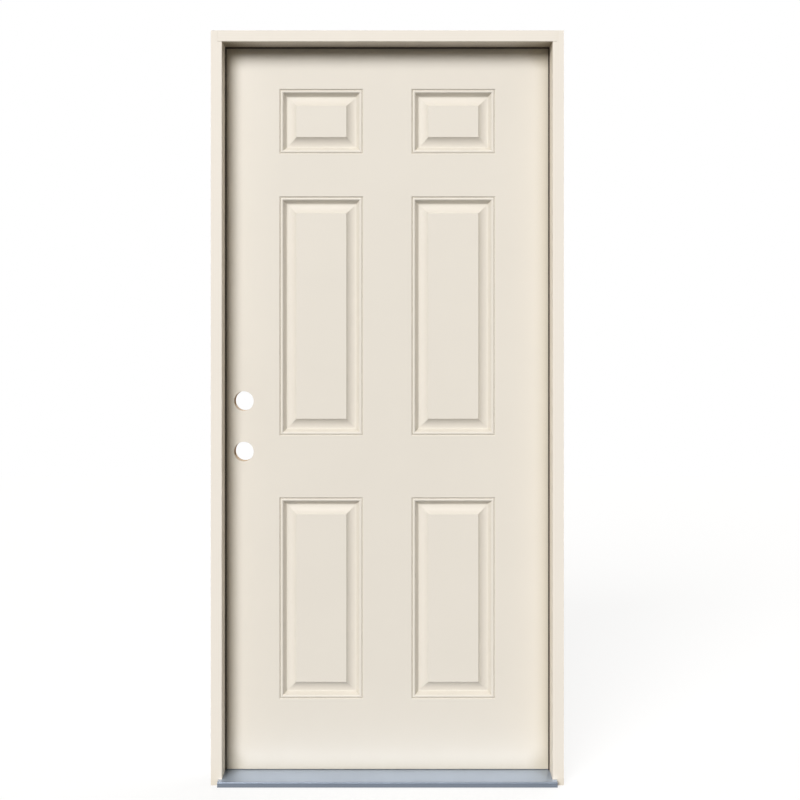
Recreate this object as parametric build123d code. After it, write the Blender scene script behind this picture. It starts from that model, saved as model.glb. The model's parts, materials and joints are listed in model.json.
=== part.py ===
from build123d import *

import os

# Panelled steel front door hung in its frame. X runs to the right as seen from outdoors, Y from outdoors to
# indoors, Z up. The origin is the middle of the sill's underside, halfway through the depth of the jambs.
# All lengths are in millimetres.

# Frame
UNIT_WIDTH = 956.0
UNIT_HEIGHT = 2044.5
JAMB_DEPTH = 116.0
JAMB_THICKNESS = 18.0
STOP_RISE = 12.0
EDGE_EASE = 1.5
KERF_WIDTH = 3.0
KERF_DEPTH = 10.0
JOINT_GAP = 0.2

# Slab
SLAB_THICKNESS = 44.5
SLAB_SETBACK = 1.0
EDGE_GAP = 3.0
SEAL_GAP = 5.5
BOTTOM_GAP = 1.2
SKIN = 0.9
SKIN_BEND = 0.5
FLANGE = 9.0
STILE_WIDTH = 28.0
STILE_CHAMFER = 1.0
TOP_RAIL_HEIGHT = 28.0
BOTTOM_RAIL_HEIGHT = 45.0
CHANNEL_DEPTH = 8.0
BOND = 0.2

# Panels, measured between the outer edges of their mouldings
STILE_FACE = 158.0
MULLION_FACE = 132.0
BOTTOM_RAIL_FACE = 192.7
BOTTOM_PANEL = 558.5
LOCK_RAIL_FACE = 169.0
FRIEZE_RAIL_FACE = 116.0
TOP_PANEL = 181.0
TOP_RAIL_FACE = 122.5

# Panel moulding, from its outer edge in to the field
QUIRK_WIDTH = 2.5
QUIRK_DEPTH = 3.0
BEAD_WIDTH = 8.0
BEAD_RISE = 2.2
SPLAY_WIDTH = 10.5
COVE_WIDTH = 26.5
VALLEY_DEPTH = 13.5
FIELD_DROP = 1.0

# Lock preparation
BACKSET = 60.3
LOCK_RISE = 877.2
DEADBOLT_SPACING = 139.7
FACE_BORE_RADIUS = 27.0
EDGE_BORE_RADIUS = 12.7
FACEPLATE_WIDTH = 25.4
FACEPLATE_HEIGHT = 57.2
FACEPLATE_DEPTH = 3.0
LOCK_BLOCK_WIDTH = 100.0
STRIKE_WIDTH = 28.6
STRIKE_HEIGHT = 57.2
STRIKE_DEPTH = 1.6
STRIKE_BORE_RADIUS = 11.0
STRIKE_BORE_DEPTH = 14.0

# Hinges
HINGE_HEIGHT = 101.6
LEAF_WIDTH = 50.8
LEAF_THICKNESS = 2.5
LEAF_FIT = 0.15
BARREL_RADIUS = 6.0
PIN_RADIUS = 3.45
PIN_CLEARANCE = 0.05
PIN_OFFSET = 10.5
PIN_HEAD_RADIUS = 5.2
PIN_HEAD_HEIGHT = 3.0
PIN_TAIL = 1.0
KNUCKLES = 5
KNUCKLE_GAP = 0.4
TOP_HINGE_DROP = 178.0
BOTTOM_HINGE_RISE = 281.7

# Sill
NOSE_REACH = 20.0
NOSE_INSET = 1.5
NOSE_HEIGHT = 15.2
NOSE_LIFT = 1.0
NOSE_RADIUS = 3.0
GROOVE_DROP = 4.0
GROOVE_WIDTH = 1.2
GROOVE_DEPTH = 0.8
DECK = 1.8
SILL_HEIGHT = 19.6
CAP_SETBACK = 5.5
CHANNEL_FLOOR = 13.0
REAR_LIP = 17.0
CAP_RISE = 0.4
CAP_EASE = 2.0
SUBSTRATE_SETBACK = 2.0
SILL_FIT = 0.3

# Seals
SEAL_CLEARANCE = 0.3
SEAL_REVEAL = 4.0
SEAL_NOSE = 2.2
STEM_WIDTH = 1.6
STEM_LENGTH = 8.5
BARB_REACH = 0.6
BARB_LENGTH = 2.0
SWEEP_BASE = 2.8
SWEEP_FIN = 1.4
SWEEP_FINS = 4
PAD_THICKNESS = 1.2
PAD_WIDTH = 25.0
PAD_HEIGHT = 60.0

OVERRUN = 2.0

# Places that follow from the sizes
unit_half = UNIT_WIDTH / 2
front = -JAMB_DEPTH / 2
back = JAMB_DEPTH / 2
rabbet_x = unit_half - JAMB_THICKNESS
stop_x = rabbet_x - STOP_RISE
rabbet_z = UNIT_HEIGHT - JAMB_THICKNESS
stop_z = rabbet_z - STOP_RISE
slab_in = back - SLAB_SETBACK
slab_out = slab_in - SLAB_THICKNESS
slab_middle = (slab_in + slab_out) / 2
stop_back = slab_out - SEAL_GAP
slab_half = rabbet_x - EDGE_GAP
slab_bottom = SILL_HEIGHT + BOTTOM_GAP
slab_top = rabbet_z - EDGE_GAP
slab_height = slab_top - slab_bottom
channel_top = slab_bottom + CHANNEL_DEPTH
stile_x = slab_half - STILE_WIDTH
core_out = slab_out + SKIN
core_in = slab_in - SKIN
pin_x = (slab_half + rabbet_x) / 2
pin_y = slab_in + PIN_OFFSET
lock_x = BACKSET - slab_half
lock_z = slab_bottom + LOCK_RISE
lock_heights = [lock_z, lock_z + DEADBOLT_SPACING]
cap_front = slab_out + CAP_SETBACK
nose_front = front - NOSE_REACH
cap_top = SILL_HEIGHT + CAP_RISE

panel_width = slab_half - STILE_FACE - MULLION_FACE / 2
panel_centres = [-(MULLION_FACE + panel_width) / 2, (MULLION_FACE + panel_width) / 2]
rail_faces = BOTTOM_RAIL_FACE + LOCK_RAIL_FACE + FRIEZE_RAIL_FACE + TOP_RAIL_FACE
middle_panel = slab_height - rail_faces - BOTTOM_PANEL - TOP_PANEL
bottom_panel_z = slab_bottom + BOTTOM_RAIL_FACE
middle_panel_z = bottom_panel_z + BOTTOM_PANEL + LOCK_RAIL_FACE
top_panel_z = middle_panel_z + middle_panel + FRIEZE_RAIL_FACE
panel_rows = [(bottom_panel_z, BOTTOM_PANEL), (middle_panel_z, middle_panel), (top_panel_z, TOP_PANEL)]
moulding_width = QUIRK_WIDTH + BEAD_WIDTH + SPLAY_WIDTH + COVE_WIDTH

bottom_hinge_z = slab_bottom + BOTTOM_HINGE_RISE + HINGE_HEIGHT / 2
top_hinge_z = slab_top - TOP_HINGE_DROP - HINGE_HEIGHT / 2
middle_hinge_z = (bottom_hinge_z + top_hinge_z) / 2
hinge_heights = {"bottom": bottom_hinge_z, "middle": middle_hinge_z, "top": top_hinge_z}
knuckle_pitch = HINGE_HEIGHT / KNUCKLES
pin_side = (rabbet_x - slab_half) / 2


def block(x, y, z):
    """A plain block that fills three spans, each a pair of low and high."""
    spans = (x, y, z)
    middle = [(low + high) / 2 for low, high in spans]
    return Pos(*middle) * Box(*[high - low for low, high in spans])


def outline(*points):
    """A flat shape with straight sides through the points."""
    return make_face(Polyline(*points, close=True))


def upright(section, z):
    """A section in X and Y, run up from the low to the high end of a span."""
    low, high = z
    return extrude(Plane.XY.offset(low) * section, amount=high - low)


def crosswise(section, x):
    """A section in Y and Z, run across a span from left to right."""
    low, high = x
    return extrude(Plane.YZ.offset(low) * section, amount=high - low)


def indoors(shape):
    """The same shape on the indoor face of the slab."""
    return mirror(shape, about=Plane.XZ.offset(-slab_middle))


def opposite(shape):
    """The same shape on the other side of the unit."""
    return mirror(shape, about=Plane.YZ)


# Jambs


def jamb_section():
    """Jamb section: the first axis runs in from the wall, the second from outdoors to indoors."""
    stop = JAMB_THICKNESS + STOP_RISE
    outdoor_points = [(0, front), (stop, front), (stop, stop_back)]
    indoor_points = [(JAMB_THICKNESS, stop_back), (JAMB_THICKNESS, back), (0, back)]
    section = outline(*outdoor_points, *indoor_points)
    outdoor_corner = section.vertices().group_by(Axis.Y)[0].sort_by(Axis.X)[-1]
    indoor_corner = section.vertices().group_by(Axis.Y)[-1].sort_by(Axis.X)[-1]
    section = fillet([outdoor_corner, indoor_corner], EDGE_EASE)
    kerf_middle = JAMB_THICKNESS + STOP_RISE / 2
    kerf = Pos(kerf_middle, stop_back) * Rectangle(KERF_WIDTH, KERF_DEPTH + KERF_DEPTH)
    return section - kerf


def side_jamb():
    """The left jamb before its hardware is let in, notched at the top for the end of the head."""
    post = upright(Pos(-unit_half, 0) * jamb_section(), (0, UNIT_HEIGHT))
    notch_x = (-rabbet_x, OVERRUN - stop_x)
    notch = block(notch_x, (front - OVERRUN, stop_back + OVERRUN), (stop_z, UNIT_HEIGHT + OVERRUN))
    return post - notch


def head_jamb():
    """The head, housed between the side jambs, its stop turned down."""
    end = rabbet_x - JOINT_GAP
    section_plane = Plane(origin=(-end, 0, UNIT_HEIGHT), x_dir=(0, 0, -1), z_dir=(1, 0, 0))
    head = extrude(section_plane * jamb_section(), amount=end + end)
    shelf = block((stop_x - JOINT_GAP, rabbet_x), (front, stop_back), (stop_z, stop_z + JOINT_GAP))
    return head - shelf - opposite(shelf)


def strike_jamb():
    """The jamb on the lock side, let in for two strike plates and bored for the bolts."""
    jamb = side_jamb()
    face = Plane(origin=(-rabbet_x, slab_middle, 0), x_dir=(0, 1, 0), z_dir=(1, 0, 0))
    plate = face * Rectangle(STRIKE_WIDTH, STRIKE_HEIGHT)
    bore = face * Circle(STRIKE_BORE_RADIUS)
    for height in lock_heights:
        jamb -= Pos(0, 0, height) * extrude(plate, amount=STRIKE_DEPTH, both=True)
        jamb -= Pos(0, 0, height) * extrude(bore, amount=STRIKE_BORE_DEPTH, both=True)
    return jamb


def hinge_jamb():
    """The jamb on the hinge side, let in for the frame leaves."""
    mortise = leaf_mortise()
    return opposite(side_jamb()) - [Pos(pin_x, pin_y, height) * mortise for height in hinge_heights.values()]


# Hinges, about the pin's axis: the frame leaf lies on the right of it


def leaf_outline(start, fit):
    """Leaf seen from the gap: the first axis runs from the pin out to the leaf's edge, the second up."""
    reach = LEAF_WIDTH + fit
    rise = HINGE_HEIGHT / 2 + fit
    return outline((start, -rise), (reach, -rise), (reach, rise), (start, rise))


def leaf_plane(x):
    """The plane of a leaf, at a distance to the right of the pin, facing the gap."""
    return Plane(origin=(x, 0, 0), x_dir=(0, -1, 0), z_dir=(-1, 0, 0))


def leaf_mortise():
    """What a frame leaf takes out of the jamb."""
    floor = leaf_plane(pin_side + LEAF_THICKNESS)
    return extrude(floor * leaf_outline(0, LEAF_FIT), amount=LEAF_THICKNESS + OVERRUN)


def hinge_leaf(first_knuckle):
    """A frame leaf with every second knuckle, counted up from the lowest."""
    edge = BARREL_RADIUS + KNUCKLE_GAP
    leaf = extrude(leaf_plane(pin_side + LEAF_THICKNESS) * leaf_outline(edge, 0), amount=LEAF_THICKNESS)
    knuckle_height = knuckle_pitch - KNUCKLE_GAP
    for knuckle in range(first_knuckle, KNUCKLES, 2):
        middle = knuckle * knuckle_pitch + knuckle_pitch / 2 - HINGE_HEIGHT / 2
        span = (middle - knuckle_height / 2, middle + knuckle_height / 2)
        leaf += block((pin_side, pin_side + LEAF_THICKNESS), (-edge, 0), span)
        leaf += Pos(0, 0, middle) * Cylinder(BARREL_RADIUS, knuckle_height)
    return leaf - Cylinder(PIN_RADIUS + PIN_CLEARANCE, HINGE_HEIGHT + OVERRUN)


def hinge_pin():
    """A pin whose button head rests on the top knuckle."""
    top = (HINGE_HEIGHT - KNUCKLE_GAP) / 2
    tail = -HINGE_HEIGHT / 2 - PIN_TAIL
    crown = top + PIN_HEAD_HEIGHT
    shaft = [(0, tail), (PIN_RADIUS, tail), (PIN_RADIUS, top)]
    head = [(PIN_HEAD_RADIUS, top), (PIN_HEAD_RADIUS, crown), (0, crown)]
    half = outline(*shaft, *head)
    return revolve(Plane.XZ * half, axis=Axis.Z)


# Panel moulding


def moulding_curve(set_down, beaded):
    """The moulding's surface from its outer edge in to the field: step, bead (or flat), splay and cove."""
    edge = (0, -set_down)
    quirk = (QUIRK_WIDTH, -set_down - QUIRK_DEPTH)
    crest = (QUIRK_WIDTH + BEAD_WIDTH / 2, -set_down - QUIRK_DEPTH + BEAD_RISE)
    fall = (QUIRK_WIDTH + BEAD_WIDTH, -set_down - QUIRK_DEPTH)
    valley = (QUIRK_WIDTH + BEAD_WIDTH + SPLAY_WIDTH, -set_down - VALLEY_DEPTH)
    field = (moulding_width, -set_down - FIELD_DROP)
    step = Line(edge, quirk)
    bead = ThreePointArc(quirk, crest, fall) if beaded else Line(quirk, fall)
    splay = Line(fall, valley)
    cove = TangentArc(valley, field, tangent=(1, 0))
    return [step, bead, splay, cove]


def moulding_sheet():
    """Section of the pressed sheet between its two faces, flat at the back of the bead."""
    outer_edge = Line((0, 0), (0, -SKIN))
    field_edge = Line((moulding_width, -FIELD_DROP), (moulding_width, -FIELD_DROP - SKIN))
    return make_face(moulding_curve(0, True) + moulding_curve(SKIN, False) + [outer_edge, field_edge])


def moulding_recess():
    """Section of what a panel takes out of the core: straight cuts that just clear the pressed sheet."""
    depth = SKIN + BOND
    fall = QUIRK_WIDTH + BEAD_WIDTH
    valley = fall + SPLAY_WIDTH
    cove_rise = VALLEY_DEPTH - FIELD_DROP
    knee = (COVE_WIDTH + cove_rise * cove_rise / COVE_WIDTH) / 2
    open_side = [(moulding_width, 0), (0, 0), (0, -depth)]
    bead_side = [(QUIRK_WIDTH, -depth - QUIRK_DEPTH), (fall, -depth - QUIRK_DEPTH)]
    floor = [(valley, -depth - VALLEY_DEPTH), (valley + knee, -depth - VALLEY_DEPTH)]
    return outline(*open_side, *bead_side, *floor, (moulding_width, -depth - FIELD_DROP))


def mitred_bar(section, length):
    """A straight run of a moulding section along X, growing up from the origin, with both ends mitred."""
    end = length / 2
    inner_end = end - moulding_width
    run = extrude(Plane.YZ.offset(-end) * Rot(0, 0, 90) * section, amount=length)
    plan = outline((-end, 0), (end, 0), (inner_end, moulding_width), (-inner_end, moulding_width))
    return run & extrude(Plane.XZ * plan, amount=SLAB_THICKNESS, both=True)


def panel_ring(section, height):
    """A moulding section carried round a panel with mitred corners, the panel's foot at the origin."""
    side = panel_width / 2
    across = mitred_bar(section, panel_width)
    along = mitred_bar(section, height)
    left = Pos(-side, 0, height / 2) * Rot(0, 90, 0) * along
    right = Pos(side, 0, height / 2) * Rot(0, -90, 0) * along
    top = Pos(0, 0, height) * Rot(0, 180, 0) * across
    return across + left + top + right


def panel_field(depth, height):
    """The flat middle of a panel, down to a depth that is given as a span."""
    side = panel_width / 2 - moulding_width
    return block((-side, side), depth, (moulding_width, height - moulding_width))


def each_panel(make):
    """What make returns for a panel's height, at the place of every panel of the outdoor face."""
    shapes = []
    for foot, height in panel_rows:
        shape = make(height)
        for centre in panel_centres:
            shapes.append(Pos(centre, slab_out, foot) * shape)
    return shapes


def pressed_panel(height):
    """A panel of the skin: its moulding and its field."""
    return panel_ring(moulding_sheet(), height) + panel_field((FIELD_DROP, FIELD_DROP + SKIN), height)


def panel_window(height):
    """The place of a panel in the flat sheet."""
    side = panel_width / 2
    return block((-side, side), (-OVERRUN, OVERRUN), (0, height))


def core_recess(height):
    """What a panel takes out of the core."""
    return panel_ring(moulding_recess(), height) + panel_field((0, FIELD_DROP + SKIN + BOND), height)


# Slab


def skin_blank():
    """The outdoor skin before it is bored: a sheet with folded long edges and pressed panels."""
    edge = slab_out + FLANGE
    inner = slab_half - SKIN
    outer_points = [(-slab_half, edge), (-slab_half, slab_out), (slab_half, slab_out), (slab_half, edge)]
    inner_points = [(inner, edge), (inner, core_out), (-inner, core_out), (-inner, edge)]
    section = outline(*outer_points, *inner_points)
    inner_folds = section.vertices().group_by(Axis.Y)[1]
    section = fillet(inner_folds, SKIN_BEND)
    section = fillet(section.vertices().group_by(Axis.Y)[0], SKIN + SKIN_BEND)
    sheet = upright(section, (slab_bottom, slab_top))
    sheet -= each_panel(panel_window)
    return sheet + each_panel(pressed_panel)


def slab_hinge_cuts():
    """The leaves' mortises in the hinge edge of the slab."""
    mortise = opposite(leaf_mortise())
    return [Pos(pin_x, pin_y, height) * mortise for height in hinge_heights.values()]


def face_bores():
    """The two bores through the slab for the lock and the deadbolt."""
    bore = Rot(90, 0, 0) * Cylinder(FACE_BORE_RADIUS, SLAB_THICKNESS + OVERRUN)
    return [Pos(lock_x, slab_middle, height) * bore for height in lock_heights]


def edge_bores():
    """The bores from the lock edge in to the middle of the face bores, behind the faceplate mortises."""
    face = Plane(origin=(-slab_half, slab_middle, 0), x_dir=(0, 1, 0), z_dir=(1, 0, 0))
    bore = extrude(face * Circle(EDGE_BORE_RADIUS), amount=BACKSET)
    plate = face * Rectangle(FACEPLATE_WIDTH, FACEPLATE_HEIGHT)
    mortise = extrude(plate, amount=FACEPLATE_DEPTH, both=True)
    return [Pos(0, 0, height) * (bore + mortise) for height in lock_heights]


def stile():
    """The stile of the hinge edge, its middle standing out between the folded edges of the skins."""
    under = slab_half - SKIN
    inset = STILE_CHAMFER
    low = slab_out + FLANGE + JOINT_GAP
    high = slab_in - FLANGE - JOINT_GAP
    outdoor_half = [(stile_x, core_out), (under - inset, core_out), (under, core_out + inset), (under, low)]
    indoor_half = [(under, high), (under, core_in - inset), (under - inset, core_in), (stile_x, core_in)]
    section = outline(*outdoor_half, (slab_half, low), (slab_half, high), *indoor_half)
    return upright(section, (channel_top, slab_top))


def rail(z):
    """A rail between the stiles."""
    reach = stile_x - JOINT_GAP
    return block((-reach, reach), (core_out, core_in), z)


def lock_block(height, margin):
    """A block beside the lock stile, centred on a face bore, with a margin round it."""
    x = (-stile_x - margin, -stile_x + LOCK_BLOCK_WIDTH + margin)
    rise = (DEADBOLT_SPACING - JOINT_GAP) / 2 + margin
    return block(x, (core_out - margin, core_in + margin), (height - rise, height + rise))


def foam_core():
    """The core between stiles and rails, hollowed behind the panels of both faces."""
    reach = stile_x - BOND
    rise = (channel_top + BOTTOM_RAIL_HEIGHT + BOND, slab_top - TOP_RAIL_HEIGHT - BOND)
    core = block((-reach, reach), (core_out + BOND, core_in - BOND), rise)
    recesses = each_panel(core_recess)
    core -= recesses
    core -= [indoors(recess) for recess in recesses]
    return core - [lock_block(height, BOND) for height in lock_heights]


def door_sweep():
    """The sweep in the channel under the bottom rail, its fins reaching down to the cap."""
    low = core_out + BOND
    high = core_in - BOND
    top = channel_top - BOND
    under = top - SWEEP_BASE
    tip = cap_top + SEAL_CLEARANCE
    section = outline((low, under), (high, under), (high, top), (low, top))
    pitch = (high - low - SWEEP_FIN) / (SWEEP_FINS - 1)
    for fin in range(SWEEP_FINS):
        left = low + fin * pitch
        right = left + SWEEP_FIN
        shoulder = tip + SWEEP_FIN / 2
        point = (left + SWEEP_FIN / 2, tip)
        section += outline((left, top), (left, shoulder), point, (right, shoulder), (right, top))
    reach = slab_half - SKIN - SEAL_CLEARANCE
    return crosswise(section, (-reach, reach))


# Seals on the frame


def seal_section():
    """Weatherstrip section on the axes of the jamb's section: a barbed stem and a bulb with a round nose."""
    middle = JAMB_THICKNESS + STOP_RISE / 2
    root = stop_back - STEM_LENGTH
    low = JAMB_THICKNESS + SEAL_CLEARANCE
    high = JAMB_THICKNESS + STOP_RISE + SEAL_REVEAL
    face = slab_out - SEAL_CLEARANCE
    bulb = outline((low, stop_back), (high, stop_back), (high, face), (low, face))
    bulb = fillet(bulb.vertices().group_by(Axis.X)[-1], SEAL_NOSE)
    stem = Pos(middle, (root + stop_back) / 2) * Rectangle(STEM_WIDTH, STEM_LENGTH)
    reach = STEM_WIDTH / 2 + BARB_REACH
    barb = outline((middle, root), (middle + reach, root + BARB_LENGTH), (middle - reach, root + BARB_LENGTH))
    upper_barb = Pos(0, BARB_LENGTH + BARB_LENGTH) * barb
    return bulb + stem + barb + upper_barb


def side_seal():
    """The weatherstrip of the left jamb, from the sill up to the head."""
    span = (SILL_HEIGHT + SEAL_CLEARANCE, rabbet_z - SEAL_CLEARANCE)
    seal = upright(Pos(-unit_half, 0) * seal_section(), span)
    above_notch = block((-rabbet_x, -stop_x), (front, stop_back), (stop_z - SEAL_CLEARANCE, rabbet_z))
    return seal - above_notch


def head_seal():
    """The weatherstrip of the head, between the two at the sides."""
    end = stop_x - SEAL_REVEAL - SEAL_CLEARANCE
    section_plane = Plane(origin=(-end, 0, UNIT_HEIGHT), x_dir=(0, 0, -1), z_dir=(1, 0, 0))
    return extrude(section_plane * seal_section(), amount=end + end)


def corner_pad():
    """A foam pad on the left jamb's rabbet, just above the sill."""
    foot = cap_top + SEAL_CLEARANCE
    x = (-rabbet_x, PAD_THICKNESS - rabbet_x)
    return block(x, (slab_out, slab_out + PAD_WIDTH), (foot, foot + PAD_HEIGHT))


# Sill


def deck_height(y):
    """Height of the deck's sloping top."""
    slope = (SILL_HEIGHT - NOSE_HEIGHT) / (cap_front - nose_front)
    return NOSE_HEIGHT + slope * (y - nose_front)


def sill_ends():
    """What the stops of the two jambs take out of the sill."""
    y = (front - SILL_FIT, stop_back + SILL_FIT)
    stop = block((stop_x - SILL_FIT, unit_half), y, (-OVERRUN, UNIT_HEIGHT))
    return [stop, opposite(stop)]


def sill_deck():
    """The aluminium deck: a grooved nose, a sloping top and a channel for the cap."""
    wall = nose_front + DECK
    leg = cap_front - DECK
    under = CHANNEL_FLOOR - DECK
    lip = back - DECK
    nose_side = [(wall, NOSE_LIFT), (nose_front, NOSE_LIFT), (nose_front, NOSE_HEIGHT)]
    top_side = [(cap_front, SILL_HEIGHT), (cap_front, CHANNEL_FLOOR), (lip, CHANNEL_FLOOR), (lip, REAR_LIP)]
    under_side = [(back, REAR_LIP), (back, under), (leg, under), (leg, deck_height(leg) - DECK)]
    section = outline(*nose_side, *top_side, *under_side, (wall, deck_height(wall) - DECK))
    nose_corner = section.vertices().group_by(Axis.X)[0].sort_by(Axis.Y)[-1]
    section = fillet(nose_corner, NOSE_RADIUS)
    groove_middle = NOSE_HEIGHT - GROOVE_DROP - GROOVE_WIDTH / 2
    section -= Pos(nose_front, groove_middle) * Rectangle(GROOVE_DEPTH + GROOVE_DEPTH, GROOVE_WIDTH)
    end = rabbet_x - SILL_FIT
    deck = crosswise(section, (-end, end)) - sill_ends()
    nose_y = (nose_front - OVERRUN, front)
    nose_end = block((rabbet_x - NOSE_INSET, unit_half), nose_y, (-OVERRUN, SILL_HEIGHT))
    return deck - nose_end - opposite(nose_end)


def sill_substrate():
    """The sill's body under the deck, flush with the feet of the jambs."""
    sheet = DECK + JOINT_GAP
    start = front + SUBSTRATE_SETBACK
    leg = cap_front - sheet
    step = CHANNEL_FLOOR - sheet
    slope = [(start, 0), (start, deck_height(start) - sheet), (leg, deck_height(leg) - sheet)]
    section = outline(*slope, (leg, step), (back, step), (back, 0))
    end = rabbet_x - SILL_FIT
    return crosswise(section, (-end, end)) - sill_ends()


def threshold_cap():
    """The cap in the deck's channel, under the slab."""
    low = cap_front + SILL_FIT
    high = back - DECK - SILL_FIT
    section = outline((low, CHANNEL_FLOOR), (high, CHANNEL_FLOOR), (high, cap_top), (low, cap_top))
    section = fillet(section.vertices().group_by(Axis.Y)[-1], CAP_EASE)
    end = rabbet_x - SILL_FIT
    return crosswise(section, (-end, end))


# The whole unit


def unit_parts():
    """Every piece of the unit by name."""
    skin = skin_blank()
    bores = face_bores()
    edges = edge_bores()
    hinge_cuts = slab_hinge_cuts()
    seal = side_seal()
    pad = corner_pad()
    frame_leaf = hinge_leaf(0)
    door_leaf = opposite(hinge_leaf(1))
    pin = hinge_pin()
    places = {name: Pos(pin_x, pin_y, height) for name, height in hinge_heights.items()}
    parts = {
        "hinge_jamb": hinge_jamb(),
        "strike_jamb": strike_jamb(),
        "head_jamb": head_jamb(),
        "weatherstrip_strike": seal,
        "weatherstrip_hinge": opposite(seal),
        "weatherstrip_head": head_seal(),
        "corner_pad_strike": pad,
        "corner_pad_hinge": opposite(pad),
        "sill_deck": sill_deck(),
        "sill_substrate": sill_substrate(),
        "threshold_cap": threshold_cap(),
        "exterior_skin": skin - bores - hinge_cuts,
        "interior_skin": indoors(skin) - bores - hinge_cuts,
        "hinge_stile": stile() - hinge_cuts,
        "lock_stile": opposite(stile()) - edges,
        "top_rail": rail((slab_top - TOP_RAIL_HEIGHT, slab_top)),
        "bottom_rail": rail((channel_top, channel_top + BOTTOM_RAIL_HEIGHT)),
        "lock_block": lock_block(lock_heights[0], 0) - bores - edges,
        "deadbolt_block": lock_block(lock_heights[1], 0) - bores - edges,
        "foam_core": foam_core(),
        "door_sweep": door_sweep(),
    }
    for name, place in places.items():
        parts[f"{name}_hinge_frame_leaf"] = place * frame_leaf
        parts[f"{name}_hinge_door_leaf"] = place * door_leaf
        parts[f"{name}_hinge_pin"] = place * pin
    return parts


os.makedirs("parts", exist_ok=True)
for name, shape in unit_parts().items():
    export_step(shape, f"parts/{name}.step")
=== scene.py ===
import json
import math

import bmesh
import bpy
from bpy.props import FloatProperty, FloatVectorProperty, IntProperty, PointerProperty
from bpy.types import NodeSocket, Operator, Panel, PropertyGroup
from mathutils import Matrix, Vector


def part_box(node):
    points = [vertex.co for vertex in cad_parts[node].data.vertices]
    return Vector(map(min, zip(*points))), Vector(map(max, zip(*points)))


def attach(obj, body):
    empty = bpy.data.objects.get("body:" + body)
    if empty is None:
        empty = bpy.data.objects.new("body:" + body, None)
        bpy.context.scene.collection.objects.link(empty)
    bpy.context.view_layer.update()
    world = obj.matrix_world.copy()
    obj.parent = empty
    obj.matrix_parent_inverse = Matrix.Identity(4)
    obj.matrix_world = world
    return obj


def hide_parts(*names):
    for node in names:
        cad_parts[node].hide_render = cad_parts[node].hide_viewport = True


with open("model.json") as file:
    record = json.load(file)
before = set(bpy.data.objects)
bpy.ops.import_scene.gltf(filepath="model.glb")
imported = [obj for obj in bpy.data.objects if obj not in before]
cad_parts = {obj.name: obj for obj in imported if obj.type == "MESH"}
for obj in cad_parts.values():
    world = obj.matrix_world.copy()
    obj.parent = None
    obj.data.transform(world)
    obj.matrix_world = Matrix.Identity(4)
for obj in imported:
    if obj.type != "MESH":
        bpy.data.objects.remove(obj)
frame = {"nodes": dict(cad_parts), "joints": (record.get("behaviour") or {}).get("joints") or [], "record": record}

bl_info = {
    "name": "Panelled front door",
    "version": (1, 0, 0),
    "blender": (4, 5, 0),
    "location": "View3D > Sidebar > Front door",
    "description": "Dresses the panelled front door and its frame, and sets it on a plain stage",
    "category": "Object",
}

# What the frame gives

OUTDOOR_LOW, OUTDOOR_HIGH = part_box("exterior_skin")
INDOOR_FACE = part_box("interior_skin")[1].y
PIN_X, PIN_Y = frame["joints"][0]["pos_m"][:2]
BORES = [mount for mount in frame["record"]["mounts"] if mount["kind"] == "bore"]
LEAF_BOXES = {name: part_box(f"{name}_hinge_frame_leaf") for name in ("top", "middle", "bottom")}
HINGE_HEIGHTS = {name: (low.z + high.z) / 2 for name, (low, high) in LEAF_BOXES.items()}

# How far the cutter of a bore reaches each way from the middle of the slab

BORE_REACH = 0.04

# Steps of the curved stretches and sides of the round pieces

BEAD_STEPS = 6
SPLAY_STEPS = 8
COVE_STEPS = 16
FOLD_STEPS = 5
EASE_STEPS = 2
CROWN_STEPS = 6
TAIL_STEPS = 3
BORE_SIDES = 128
HINGE_SIDES = 64
HOLE_SIDES = 48
SCREW_SIDES = 40

# What counts as a sharp corner or edge, and as a face that looks in a direction

SHARP_CORNER = math.radians(14)
SHARP_EDGE = math.radians(50)
FACING = 0.9
RIGHT = Vector((1.0, 0.0, 0.0))
UP = Vector((0.0, 0.0, 1.0))

# Shares of a piece's own sizes

CORNER_CUT_SHARE = 0.45
PIN_ROUNDING_SHARE = 0.7
SHANK_SHARE = 0.7
SHANK_END_SHARE = 0.9
POINT_SHARE = 0.2
RECESS_ARM_SHARE = 0.55
RECESS_WIDTH_SHARE = 0.11
RECESS_DEPTH_SHARE = 0.6
RECESS_FOOT_SHARE = 0.45

# Values that a user may change


def number(name, description, default, **limits):
    """A number that a user may change, with its limits and unit if it has any."""
    return FloatProperty(name=name, description=description, default=default, **limits)


def length(name, description, default):
    """A length in metres that a user may change."""
    return number(name, description, default, min=0.0, unit="LENGTH", precision=5)


def spread(name, description, degrees):
    """The spread of a lamp that a user may change, given here in degrees."""
    return number(name, description, math.radians(degrees), subtype="ANGLE")


def direction(name, description, default):
    """A direction that a user may change."""
    return FloatVectorProperty(name=name, description=description, default=default, subtype="DIRECTION")


def colour(name, description, default):
    """A colour that a user may change."""
    return FloatVectorProperty(
        name=name, description=description, default=default, min=0.0, max=1.0, subtype="COLOR"
    )


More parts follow.
